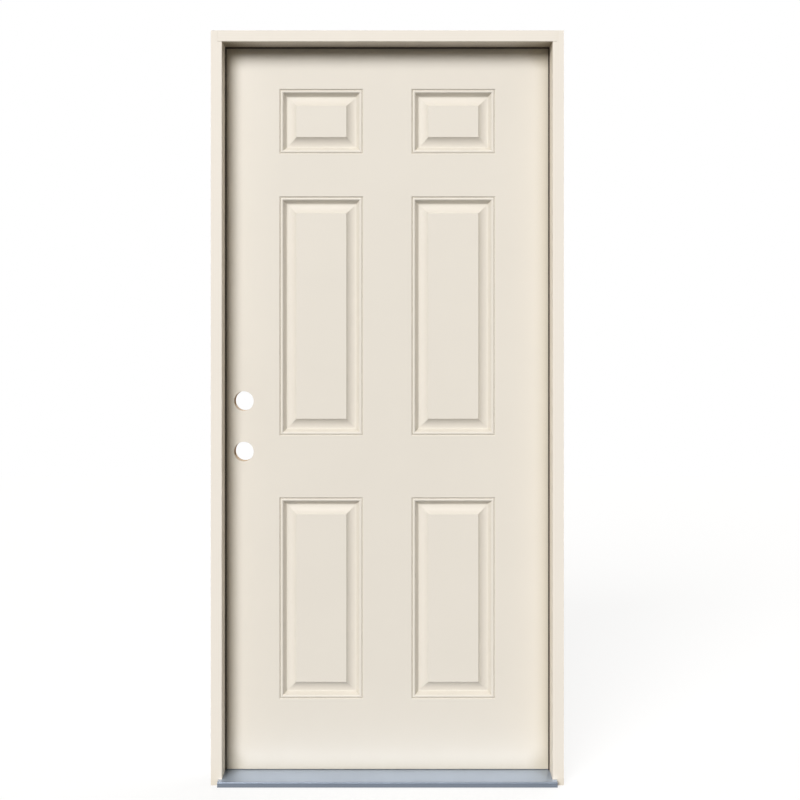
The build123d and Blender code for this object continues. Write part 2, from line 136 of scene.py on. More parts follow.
class DoorSizes(PropertyGroup):
    """Sizes of the pressed skins, of the hinge hardware and of the sill's nose."""

    sheet: length("Sheet", "Thickness of the sheet steel", 0.0006)
    flange: length("Flange", "Depth of the folded long edges", 0.009)
    fold: length("Fold", "Outer radius of the folds", 0.0014)
    panel_width: length("Panel width", "Width of a panel over its moulding", 0.233)
    mullion: length("Mullion", "Flat strip between the two columns of panels", 0.132)
    bottom_rail: length("Bottom rail", "Flat strip under the bottom panels", 0.1927)
    bottom_panel: length("Bottom panel", "Height of the bottom panels", 0.5585)
    lock_rail: length("Lock rail", "Flat strip between bottom and middle panels", 0.169)
    middle_panel: length("Middle panel", "Height of the middle panels", 0.663)
    frieze_rail: length("Frieze rail", "Flat strip between middle and top panels", 0.116)
    top_panel: length("Top panel", "Height of the top panels", 0.181)
    quirk_width: length("Quirk width", "Width of the outer step of the moulding", 0.0033)
    quirk_depth: length("Quirk depth", "Depth of the outer step of the moulding", 0.003)
    bead_width: length("Bead width", "Width of the bead", 0.0082)
    bead_rise: length("Bead rise", "Height of the bead over the step", 0.0022)
    splay_width: length("Splay width", "Width of the slope inside the bead", 0.0095)
    splay_hollow: number("Splay hollow", "Power of the slope's curve; 1 is straight", 1.3)
    cove_width: length("Cove width", "Width of the slope up to the field", 0.0265)
    valley_depth: length("Valley depth", "Depth of the moulding's lowest line", 0.0135)
    field_drop: length("Field drop", "How far the field lies behind the face", 0.001)
    crease: length("Crease", "How far a pressed crease is rounded", 0.0006)
    leaf_height: length("Leaf height", "Height of a hinge leaf", 0.1016)
    leaf_width: length("Leaf width", "From the pin's axis to the leaf's edge", 0.0508)
    leaf_thickness: length("Leaf thickness", "Thickness of a hinge leaf", 0.0025)
    leaf_gap: length("Leaf gap", "From the pin's axis to the leaf's face", 0.0015)
    leaf_ease: length("Leaf ease", "Rounding of the leaf's edges", 0.0003)
    leaf_play: length("Leaf play", "Play round a leaf in the skin's cut-out", 0.00015)
    barrel: length("Barrel", "Radius of a knuckle", 0.006)
    tab_root: length("Tab root", "How far a knuckle's tab runs into its leaf", 0.0015)
    knuckle_gap: length("Knuckle gap", "Gap between two knuckles", 0.0004)
    knuckles: IntProperty(name="Knuckles", description="Knuckles of a hinge", default=5, min=3, max=9)
    pin: length("Pin", "Radius of a pin", 0.00345)
    pin_clearance: length("Pin clearance", "Radial play of a pin in its knuckles", 0.00005)
    pin_head: length("Pin head", "Radius of a pin's head", 0.0052)
    pin_head_height: length("Pin head height", "Height of a pin's head", 0.003)
    pin_tail: length("Pin tail", "How far a pin stands out below", 0.001)
    screw_head: length("Screw head", "Radius of a screw's head", 0.0044)
    screw_sink: length("Screw sink", "How far a screw's head lies below the leaf's face", 0.0001)
    screw_neck: length("Screw neck", "Radius of a screw under its head", 0.0020)
    screw_length: length("Screw length", "Length of a screw", 0.013)
    screw_pitch: length("Screw pitch", "Height between two screws of a leaf", 0.035)
    screw_near: length("Near screws", "From the pin's axis to the outer screws", 0.023)
    screw_far: length("Far screw", "From the pin's axis to the middle screw", 0.038)
    # Painted shade: depth and fade of the darkened front of the sill deck
    sill_nose: length("Sill nose", "Depth of the darker nose of the sill", 0.003)
    nose_edge: length("Nose edge", "Over which depth the nose's shade fades out", 0.001)


class DoorColours(PropertyGroup):
    """Colours of the finishes."""

    face: colour("Face", "Primer on the steel skins", (0.805, 0.755, 0.675))
    frame: colour("Frame", "Primer on the jambs", (0.895, 0.840, 0.760))
    # Painted shade: the two tints below darken the jambs' primer in their corners and under the head jamb
    side_shade: colour("Side shade", "Tint in the corners of the side jambs", (0.95, 0.93, 0.88))
    head_shade: colour("Head shade", "Tint under the head jamb", (0.43, 0.40, 0.34))
    pine_light: colour("Pine, light", "Early wood of the unpainted pine", (0.70, 0.55, 0.37))
    pine_dark: colour("Pine, dark", "Late wood of the unpainted pine", (0.52, 0.36, 0.20))
    core: colour("Core", "Insulating foam", (0.74, 0.60, 0.30))
    seal: colour("Seal", "Film on the weatherstrips", (0.060, 0.045, 0.033))
    sweep: colour("Sweep", "Rubber of the sweep", (0.018, 0.017, 0.016))
    aluminium: colour("Aluminium", "Sill deck", (0.485, 0.57, 0.705))
    composite: colour("Composite", "Sill body", (0.18, 0.15, 0.115))
    cap: colour("Cap", "Vinyl threshold cap", (0.34, 0.22, 0.115))
    nickel: colour("Nickel", "Hinges and their screws", (0.50, 0.48, 0.45))


class StageSettings(PropertyGroup):
    """Light, floor and camera."""

    key_strength: number("Key", "Strength of the key light", 3.00, min=0.0)
    key_angle: spread("Key angle", "Spread of the key light", 30)
    key_from: direction("Key from", "Direction to the key light", (-0.290, -0.84, 0.435))
    back_strength: number("Back", "Strength of the light from indoors", 2.0, min=0.0)
    back_angle: spread("Back angle", "Spread of the light from indoors", 80)
    back_from: direction("Back from", "Direction to the light from indoors", (0.35, 0.80, 0.50))
    lamp_distance: length("Lamp distance", "From the origin to the mark of a lamp", 4.0)
    fill: number("Fill", "Strength of the even light all round", 0.20, min=0.0)
    fill_tint: colour("Fill tint", "Colour of the even light all round", (1.0, 0.93, 0.80))
    backdrop: colour("Backdrop", "Colour of the backdrop in view", (1.0, 1.0, 1.0))
    floor: colour("Floor", "Colour of the floor in view", (0.25, 0.25, 0.25))
    floor_bounce: colour("Floor bounce", "Colour of the floor as it lights the object", (0.08, 0.08, 0.08))
    floor_lift: number("Floor lift", "White added to the floor in view", 0.772)
    floor_size: length("Floor size", "Side of the square floor", 14.0)
    floor_back: length("Floor back", "How far indoors the floor's middle lies", 1.0)
    lens: number("Lens", "Focal length in millimetres", 56.5, min=1.0)
    sensor: number("Sensor", "Width of the camera's sensor in millimetres", 36.0, min=1.0)
    distance: length("Distance", "From the frame's front to the camera", 3.40)
    height: length("Height", "Height of the camera", 1.192)
    shift_x: number("Shift across", "Sideways shift of the view", 0.0158)
    shift_y: number("Shift up", "Upward shift of the view", -0.0685)


# Modelling by hand


def deselect():
    """Leaves edit mode and selects nothing."""
    if bpy.context.object is not None and bpy.context.object.mode != "OBJECT":
        bpy.ops.object.mode_set(mode="OBJECT")
    bpy.ops.object.select_all(action="DESELECT")


def take(piece):
    """Makes a piece the only one selected."""
    deselect()
    piece.select_set(True)
    bpy.context.view_layer.objects.active = piece


def edit(piece):
    """Opens a piece in edit mode with nothing selected."""
    take(piece)
    bpy.ops.object.mode_set(mode="EDIT")
    bpy.ops.mesh.select_all(action="DESELECT")


def pick_faces(piece, wanted):
    """Selects the faces whose middle and normal pass a test."""
    bpy.ops.mesh.select_mode(type="FACE")
    mesh = bmesh.from_edit_mesh(piece.data)
    for face in mesh.faces:
        face.select_set(bool(wanted(face.calc_center_median(), face.normal)))
    bmesh.update_edit_mesh(piece.data)


def facing(way):
    """A test for the faces that look in a direction."""
    return lambda middle, normal: normal.dot(way) > FACING


def pick_edges(piece, wanted):
    """Selects the edges whose two ends pass a test."""
    bpy.ops.mesh.select_mode(type="EDGE")
    mesh = bmesh.from_edit_mesh(piece.data)
    for edge in mesh.edges:
        edge.select_set(bool(wanted(edge.verts[0].co) and wanted(edge.verts[1].co)))
    bmesh.update_edit_mesh(piece.data)


def extrude(step):
    """Extrudes the selected faces by a step."""
    bpy.ops.mesh.extrude_region_move(TRANSFORM_OT_translate={"value": step})


def resize(scale, centre):
    """Scales what is selected about a centre."""
    bpy.ops.transform.resize(value=scale, center_override=centre)


def round_edges(reach, steps):
    """Rounds the selected edges."""
    bpy.ops.mesh.bevel(offset=reach, segments=steps, affect="EDGES")


def settle(piece, name):
    """Names a new piece and puts its place into its mesh."""
    piece.name = name
    piece.data.name = name
    take(piece)
    bpy.ops.object.transform_apply()
    return piece


def add_block(name, low, high):
    """A block between two corners, as a start or a cutter."""
    deselect()
    low, high = Vector(low), Vector(high)
    bpy.ops.mesh.primitive_cube_add(size=1, location=(low + high) / 2)
    bpy.context.object.scale = high - low
    return settle(bpy.context.object, name)


def add_round(name, radius, start, end, sides):
    """A cylinder from a start to an end point, as a start or a cutter."""
    deselect()
    start, end = Vector(start), Vector(end)
    bpy.ops.mesh.primitive_cylinder_add(
        vertices=sides,
        radius=radius,
        depth=(end - start).length,
        location=(start + end) / 2,
        rotation=(end - start).to_track_quat("Z", "Y").to_euler(),
    )
    return settle(bpy.context.object, name)


def finish_with(piece, kind, **settings):
    """Adds a modifier to a piece and applies it."""
    take(piece)
    modifier = piece.modifiers.new(kind.title(), kind)
    for key, value in settings.items():
        setattr(modifier, key, value)
    bpy.ops.object.modifier_apply(modifier=modifier.name)


def combine(piece, operation, tools):
    """Cuts tools out of a piece or unites them with it, and clears them away."""
    for tool in tools:
        finish_with(piece, "BOOLEAN", operation=operation, solver="EXACT", object=tool)
        bpy.data.meshes.remove(tool.data)


def copy_of(piece, name):
    """A copy of a piece with its own mesh."""
    take(piece)
    bpy.ops.object.duplicate(linked=False)
    return settle(bpy.context.object, name)


def move(piece, step):
    """Moves a piece's mesh."""
    edit(piece)
    bpy.ops.mesh.select_all(action="SELECT")
    bpy.ops.transform.translate(value=step)
    deselect()


def flip(piece, scale, centre):
    """Turns a piece's mesh over about a plane, with its faces still outwards."""
    edit(piece)
    bpy.ops.mesh.select_all(action="SELECT")
    resize(scale, centre)
    bpy.ops.mesh.normals_make_consistent(inside=False)
    deselect()


def smooth(piece, degrees):
    """Smooth shading that keeps the edges sharper than an angle."""
    take(piece)
    bpy.ops.object.shade_smooth_by_angle(angle=math.radians(degrees))


def hand_over(piece, body, slot, material, *nodes):
    """Gives a finished piece its body, its finish and the nodes that it stands for."""
    piece.data.materials.clear()
    piece.data.materials.append(material)
    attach(piece, body)
    if nodes:
        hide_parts(*nodes)


# Nodes

COLOUR, VALUE, VECTOR = "NodeSocketColor", "NodeSocketFloat", "NodeSocketVector"
# Where a Mix node has the factor, the two colours and the result of a mix of colours
MIX_FACTOR, MIX_FIRST, MIX_SECOND, MIX_RESULT = 0, 6, 7, 2


def put(tree, value, socket):
    """Gives a socket a value, or links it to an output."""
    if isinstance(value, NodeSocket):
        tree.links.new(value, socket)
    elif socket.type == "RGBA":
        socket.default_value = (*value, 1.0)
    else:
        socket.default_value = value


def feed(tree, node, **values):
    """Gives a node's named inputs their values or the outputs that feed them."""
    for key, value in values.items():
        put(tree, value, node.inputs[key.replace("_", " ")])


def add_node(tree, kind, *values, **settings):
    """A node with values or outputs for its first inputs, its settings and its named inputs."""
    node = tree.nodes.new(kind)
    for key, value in settings.items():
        if key in node.bl_rna.properties:
            setattr(node, key, value)
        else:
            feed(tree, node, **{key: value})
    for socket, value in zip(node.inputs, values):
        put(tree, value, socket)
    return node


def worked(tree, operation, *values):
    """The result of a sum on values or outputs."""
    return add_node(tree, "ShaderNodeMath", *values, operation=operation).outputs[0]


def ranged(tree, source, low, high):
    """A value from nought to one, mapped to a low and a high, each a number or an output."""
    return add_node(tree, "ShaderNodeMapRange", Value=source, To_Min=low, To_Max=high).outputs["Result"]


def between(tree, source, low, high):
    """How far a value has come from a low to a high, from nought to one."""
    return add_node(tree, "ShaderNodeMapRange", Value=source, From_Min=low, From_Max=high).outputs["Result"]


def about_one(tree, source, reach):
    """A value from nought to one, mapped to lie up to a reach below and above one."""
    return ranged(tree, source, worked(tree, "SUBTRACT", 1.0, reach), worked(tree, "ADD", 1.0, reach))


def blended(tree, factor, first, second, blend_type="MIX"):
    """A mix of two colours by a factor, each a value or an output."""
    node = add_node(tree, "ShaderNodeMix", data_type="RGBA", blend_type=blend_type)
    for place, value in ((MIX_FACTOR, factor), (MIX_FIRST, first), (MIX_SECOND, second)):
        put(tree, value, node.inputs[place])
    return node.outputs[MIX_RESULT]


def shaded(tree, source, value):
    """A colour output made lighter or darker by a value that changes over the surface."""
    return add_node(tree, "ShaderNodeVectorMath", source, value, operation="MULTIPLY").outputs[0]


def object_place(tree):
    """The place on a piece, in the object's own coordinates."""
    return add_node(tree, "ShaderNodeTexCoord").outputs["Object"]


def noise(tree, place, **settings):
    """The value of a noise pattern at a place."""
    return add_node(tree, "ShaderNodeTexNoise", Vector=place, **settings).outputs["Fac"]


# Effects that several finishes share


def new_group(name, inputs, outputs):
    """An empty shader node group with named sockets; returns it with what it is given and its end."""
    group = bpy.data.node_groups.new(name, "ShaderNodeTree")
    for in_out, sockets in (("INPUT", inputs), ("OUTPUT", outputs)):
        for label, kind in sockets:
            group.interface.new_socket(name=label, in_out=in_out, socket_type=kind)
    given = group.nodes.new("NodeGroupInput").outputs
    return group, given, group.nodes.new("NodeGroupOutput")


def paint_film():
    """Sprayed primer: a faint mottle and the fine orange peel of the spray gun."""
    group, given, end = new_group(
        "Paint film",
        [("Colour", COLOUR), ("Mottle", VALUE), ("Peel scale", VALUE), ("Sheen", VALUE)],
        [("Colour", COLOUR), ("Roughness", VALUE), ("Height", VALUE)],
    )
    sheen_change = 0.06
    place = object_place(group)
    cloud = noise(group, place, Scale=5.0, Detail=4.0, Roughness=0.55)
    tone = about_one(group, cloud, given["Mottle"])
    patches = noise(group, place, Scale=22.0, Detail=3.0)
    change = ranged(group, patches, -sheen_change, sheen_change)
    feed(
        group,
        end,
        Colour=shaded(group, given["Colour"], tone),
        Roughness=worked(group, "ADD", given["Sheen"], change),
        Height=noise(group, place, Scale=given["Peel scale"], Detail=1.5),
    )
    return group


def timber_grain():
    """Straight-grained pine: bands of early and late wood with fine fibres along the grain."""
    group, given, end = new_group(
        "Timber grain",
        [("Vector", VECTOR), ("Early wood", COLOUR), ("Late wood", COLOUR)],
        [("Colour", COLOUR), ("Height", VALUE)],
    )
    fibre_share = 0.45
    place = given["Vector"]
    bands = add_node(
        group,
        "ShaderNodeTexWave",
        bands_direction="X",
        wave_profile="SAW",
        Vector=place,
        Scale=1.1,
        Distortion=5.0,
        Detail=3.0,
        Detail_Scale=0.7,
    )
    fibre_place = add_node(group, "ShaderNodeMapping", Vector=place, Scale=(9.0, 9.0, 1.0)).outputs[0]
    fibres = noise(group, fibre_place, Scale=3.0, Detail=5.0, Roughness=0.6)
    height = blended(group, fibre_share, bands.outputs["Color"], fibres)
    wood = blended(group, height, given["Early wood"], given["Late wood"])
    feed(group, end, Colour=wood, Height=height)
    return group


def drawn_metal():
    """Metal with long fine die lines or brush lines."""
    group, given, end = new_group(
        "Drawn metal",
        [("Vector", VECTOR), ("Colour", COLOUR), ("Roughness", VALUE)],
        [("Colour", COLOUR), ("Roughness", VALUE), ("Height", VALUE)],
    )
    line_tones = (0.86, 1.12)
    cloud_tones = (0.94, 1.05)
    line_roughness = 0.10
    lines = noise(group, given["Vector"], Scale=1.0, Detail=6.0, Roughness=0.7)
    cloud = noise(group, object_place(group), Scale=9.0, Detail=3.0)
    tone = worked(group, "MULTIPLY", ranged(group, lines, *line_tones), ranged(group, cloud, *cloud_tones))
    change = ranged(group, lines, -line_roughness, line_roughness)
    feed(
        group,
        end,
        Colour=shaded(group, given["Colour"], tone),
        Roughness=worked(group, "ADD", given["Roughness"], change),
        Height=lines,
    )
    return group


def fine_cells():
    """Foam, rubber or filled plastic: small cells or grains with lighter and darker patches."""
    group, given, end = new_group(
        "Fine cells",
        [("Colour", COLOUR), ("Cell scale", VALUE), ("Contrast", VALUE)],
        [("Colour", COLOUR), ("Height", VALUE)],
    )
    cell_share = 0.5
    cloud_share = 0.6
    place = object_place(group)
    cells = add_node(group, "ShaderNodeTexVoronoi", Vector=place, Scale=given["Cell scale"])
    height = cells.outputs["Distance"]
    cloud = ranged(group, noise(group, place, Scale=30.0, Detail=4.0), 0.0, cloud_share)
    both = worked(group, "MULTIPLY_ADD", height, cell_share, cloud)
    tone = about_one(group, both, given["Contrast"])
    feed(group, end, Colour=shaded(group, given["Colour"], tone), Height=height)
    return group


def contact_shade():
    """Painted shade: darkens a colour by ambient occlusion in tight grooves and, further out, in hollows and
    corners.
    """
    group, given, end = new_group(
        "Contact shade",
        [("Colour", COLOUR), ("Groove tint", COLOUR), ("Hollow tint", COLOUR), ("Hollow reach", VALUE)],
        [("Colour", COLOUR)],
    )
    groove_range = (0.35, 0.76)
    hollow_range = (0.45, 0.82)
    occlusion = "ShaderNodeAmbientOcclusion"
    # Painted shade from ambient occlusion: a short reach for grooves, a long one for hollows and corners near
    # other parts
    grooves = add_node(group, occlusion, samples=8, only_local=True, Distance=0.004)
    hollows = add_node(group, occlusion, samples=8, Distance=given["Hollow reach"])
    shade = given["Colour"]
    # Each pass multiplies in painted shade where the occlusion is closed
    for node, tint, span in (
        (grooves, "Groove tint", groove_range),
        (hollows, "Hollow tint", hollow_range),
    ):
        openness = between(group, node.outputs["AO"], *span)
        deep = blended(group, 1.0, shade, given[tint], "MULTIPLY")
        shade = blended(group, openness, deep, shade)
    feed(group, end, Colour=shade)
    return group


# Finishes


def new_material(name, **settings):
    """A material with one principled shader; returns it with that shader."""
    material = bpy.data.materials.new(name)
    material.use_nodes = True
    tree = material.node_tree
    tree.nodes.clear()
    out = tree.nodes.new("ShaderNodeOutputMaterial")
    shader = add_node(tree, "ShaderNodeBsdfPrincipled", **settings)
    feed(tree, out, Surface=shader.outputs[0])
    return material, shader


def place_group(material, maker, **values):
    """Places a shared node group in a material, fed with values or outputs; returns its outputs."""
    name = maker.__name__.replace("_", " ").capitalize()
    node = material.node_tree.nodes.new("ShaderNodeGroup")
    node.node_tree = bpy.data.node_groups.get(name) or maker()
    feed(material.node_tree, node, **values)
    return node.outputs


def raise_surface(material, shader, height, strength, distance):
    """Lets a height shape the surface."""
    tree = material.node_tree
    bump = add_node(tree, "ShaderNodeBump", Height=height, Strength=strength, Distance=distance)
    feed(tree, shader, Normal=bump.outputs[0])


def stretched(material, scale, turn=(0.0, 0.0, 0.0)):
    """Object coordinates scaled along each axis and then turned, for patterns that run one way."""
    tree = material.node_tree
    place = object_place(tree)
    return add_node(tree, "ShaderNodeMapping", Vector=place, Scale=scale, Rotation=turn).outputs[0]


def grain_place(material, along, across, lengthwise):
    """Coordinates for timber with its grain along X or Z, scaled across the grain and along it."""
    if along == "Z":
        return stretched(material, (across, across, lengthwise))
    return stretched(material, (lengthwise, across, across), (0.0, math.pi / 2, 0.0))


def primed_steel(colours):
    """Cream primer on sheet steel, with painted shade in grooves and corners."""
    material, shader = new_material("steel_primer", Specular_IOR_Level=0.3)
    film = place_group(
        material, paint_film, Colour=colours.face, Mottle=0.02, Peel_scale=700.0, Sheen=0.46
    )
    # Painted shade in the moulding grooves and in the hollows next to the frame
    shade = place_group(
        material,
        contact_shade,
        Colour=film["Colour"],
        Groove_tint=(0.43, 0.40, 0.335),
        Hollow_tint=(0.69, 0.665, 0.60),
        Hollow_reach=0.065,
    )
    tree = material.node_tree
    feed(tree, shader, Base_Color=shade["Colour"], Roughness=film["Roughness"])
    raise_surface(material, shader, film["Height"], strength=0.12, distance=0.0002)
    return material


def primed_wood(colours, along, hollow_shade):
    """Cream primer on pine, the grain just showing through along X or Z, with painted shade in its hollows."""
    grain_relief = 0.6
    material, shader = new_material(f"jamb_primer_{along.lower()}", Specular_IOR_Level=0.30)
    tree = material.node_tree
    film = place_group(
        material, paint_film, Colour=colours.frame, Mottle=0.02, Peel_scale=520.0, Sheen=0.56
    )
    grain = place_group(
        material,
        timber_grain,
        Vector=grain_place(material, along, across=45.0, lengthwise=1.6),
        Early_wood=(1.0, 1.0, 1.0),
        Late_wood=(0.965, 0.955, 0.94),
    )
    # Painted shade in the jamb's corners and, with the head's darker tint, under the head jamb
    shade = place_group(
        material,
        contact_shade,
        Colour=blended(tree, 1.0, film["Colour"], grain["Colour"], "MULTIPLY"),
        Groove_tint=(0.80, 0.77, 0.70),
        Hollow_tint=hollow_shade,
        Hollow_reach=0.12,
    )
    feed(tree, shader, Base_Color=shade["Colour"], Roughness=film["Roughness"])
    relief = worked(tree, "MULTIPLY_ADD", grain["Height"], grain_relief, film["Height"])
    raise_surface(material, shader, relief, strength=0.10, distance=0.0002)
    return material


def raw_wood(colours, along):
    """Planed pine with its grain along X or Z."""
    material, shader = new_material(f"pine_{along.lower()}", Specular_IOR_Level=0.25, Roughness=0.68)
    grain = place_group(
        material,
        timber_grain,
        Vector=grain_place(material, along, across=60.0, lengthwise=2.0),
        Early_wood=colours.pine_light,
        Late_wood=colours.pine_dark,
    )
    feed(material.node_tree, shader, Base_Color=grain["Colour"])
    raise_surface(material, shader, grain["Height"], strength=0.25, distance=0.0003)
    return material


def celled(name, tint, scale, contrast, rough, relief):
    """Foam, rubber, vinyl or composite."""
    material, shader = new_material(name, Specular_IOR_Level=0.3, Roughness=rough)
    cells = place_group(material, fine_cells, Colour=tint, Cell_scale=scale, Contrast=contrast)
    feed(material.node_tree, shader, Base_Color=cells["Colour"])
    raise_surface(material, shader, cells["Height"], strength=relief, distance=0.0004)
    return material


def lined_metal(name, tint, scale, rough, metallic, nose=None):
    """Metal with lines along the axis whose scale is smallest.

    A nose is two depths: painted shade darkens the metal outdoors of the first and leaves it plain indoors of the
    second.
    Metal with a nose also gets painted shade in grooves and hollows.
    """
    # Painted shade: share of brightness left on the front of the nose
    nose_shade_tone = 0.50
    material, shader = new_material(name, Metallic=metallic)
    tree = material.node_tree
    lines = place_group(
        material, drawn_metal, Vector=stretched(material, scale), Colour=tint, Roughness=rough
    )
    surface = lines["Colour"]
    if nose is not None:
        # Painted shade on the front of the nose, by depth, then occlusion shade in grooves and hollows
        depth = add_node(tree, "ShaderNodeSeparateXYZ", Vector=object_place(tree)).outputs["Y"]
        tone = ranged(tree, between(tree, depth, *nose), nose_shade_tone, 1.0)
        shade = place_group(
            material,
            contact_shade,
            Colour=shaded(tree, surface, tone),
            Groove_tint=(0.8, 0.8, 0.8),
            Hollow_tint=(0.70, 0.69, 0.68),
            Hollow_reach=0.05,
        )
        surface = shade["Colour"]
    feed(tree, shader, Base_Color=surface, Roughness=lines["Roughness"])
    raise_surface(material, shader, lines["Height"], strength=0.08, distance=0.0002)
    return material


def paint_nodes(material, *nodes):
    """Gives CAD nodes a finish."""
    for node in nodes:
        mesh = frame["nodes"][node].data
        mesh.materials.clear()
        mesh.materials.append(material)


# Operators


class DOOR_OT_finishes(Operator):
    """Mixes the finishes and gives them to the pieces whose shape is already right"""

    bl_idname = "front_door.finishes"
    bl_label = "Finishes"

    def execute(self, context):
        sizes = context.scene.front_door_sizes
        colours = context.scene.front_door_colours
        primed_steel(colours)
        paint_nodes(primed_wood(colours, "Z", colours.side_shade), "hinge_jamb", "strike_jamb")
        paint_nodes(primed_wood(colours, "X", colours.head_shade), "head_jamb")
        paint_nodes(raw_wood(colours, "Z"), "hinge_stile", "lock_stile", "lock_block", "deadbolt_block")
        paint_nodes(raw_wood(colours, "X"), "top_rail", "bottom_rail")
        foam = celled("insulating_foam", colours.core, scale=700.0, contrast=0.16, rough=0.85, relief=0.5)
        paint_nodes(foam, "foam_core")
        seal = celled("seal_film", colours.seal, scale=900.0, contrast=0.30, rough=0.62, relief=0.2)
        paint_nodes(seal, "weatherstrip_strike", "weatherstrip_hinge", "weatherstrip_head")
        paint_nodes(seal, "corner_pad_strike", "corner_pad_hinge")
        rubber = celled("black_rubber", colours.sweep, scale=1500.0, contrast=0.35, rough=0.55, relief=0.2)
        paint_nodes(rubber, "door_sweep")
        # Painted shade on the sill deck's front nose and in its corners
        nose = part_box("sill_deck")[0].y + sizes.sill_nose
        deck = lined_metal(
            "deck_metal",
            colours.aluminium,
            scale=(1.5, 900.0, 900.0),
            rough=0.36,
            metallic=0.55,
            nose=(nose, nose + sizes.nose_edge),
        )
        paint_nodes(deck, "sill_deck")
        body = celled("sill_body", colours.composite, scale=260.0, contrast=0.35, rough=0.8, relief=0.5)
        paint_nodes(body, "sill_substrate")
        vinyl = celled("tan_vinyl", colours.cap, scale=1200.0, contrast=0.10, rough=0.45, relief=0.1)
        paint_nodes(vinyl, "threshold_cap")
        lined_metal("satin_nickel", colours.nickel, scale=(900.0, 900.0, 12.0), rough=0.32, metallic=1.0)
        return {"FINISHED"}


def moulding_points(sizes):
    """Width and depth of the moulding from its outer edge in to the field, with eased creases."""
    fall = sizes.quirk_width + sizes.bead_width
    valley = fall + sizes.splay_width
    width = valley + sizes.cove_width
    points = [(0.0, 0.0), (sizes.crease, 0.0), (sizes.quirk_width, sizes.quirk_depth)]
    half = sizes.bead_width / 2
    bend = 2 * math.atan(sizes.bead_rise / half)
    radius = half / math.sin(bend)
    for step in range(1 - BEAD_STEPS, BEAD_STEPS):
        angle = bend * step / BEAD_STEPS
        rise = radius * (math.cos(angle) - math.cos(bend))
        points.append((sizes.quirk_width + half + radius * math.sin(angle), sizes.quirk_depth - rise))
    sink = sizes.valley_depth - sizes.quirk_depth
    for step in range(SPLAY_STEPS):
        share = step / SPLAY_STEPS
        drop = sink * (1 - (1 - share) ** sizes.splay_hollow)
        points.append((fall + sizes.splay_width * share, sizes.quirk_depth + drop))
    climb = sizes.valley_depth - sizes.field_drop
    turn = 2 * math.atan(climb / sizes.cove_width)
    radius = sizes.cove_width / math.sin(turn)
    for step in range(COVE_STEPS + 1):
        angle = turn * step / COVE_STEPS
        rise = radius * (1 - math.cos(angle))
        points.append((valley + radius * math.sin(angle), sizes.valley_depth - rise))
    points += [(width + sizes.crease, sizes.field_drop), (width + 2 * sizes.crease, sizes.field_drop)]
    return eased(points, sizes.crease)


def eased(points, reach):
    """The same line with each sharp corner cut off a little way from its point."""
    out = [points[0]]
    for before, here, after in zip(points, points[1:], points[2:]):
        first = Vector(here) - Vector(before)
        second = Vector(after) - Vector(here)
        if first.angle(second) < SHARP_CORNER:
            out.append(here)
            continue
        for line, sign in ((first, -1), (second, 1)):
            part = min(reach, line.length * CORNER_CUT_SHARE)
            out.append(tuple(Vector(here) + sign * part * line.normalized()))
    return out + [points[-1]]


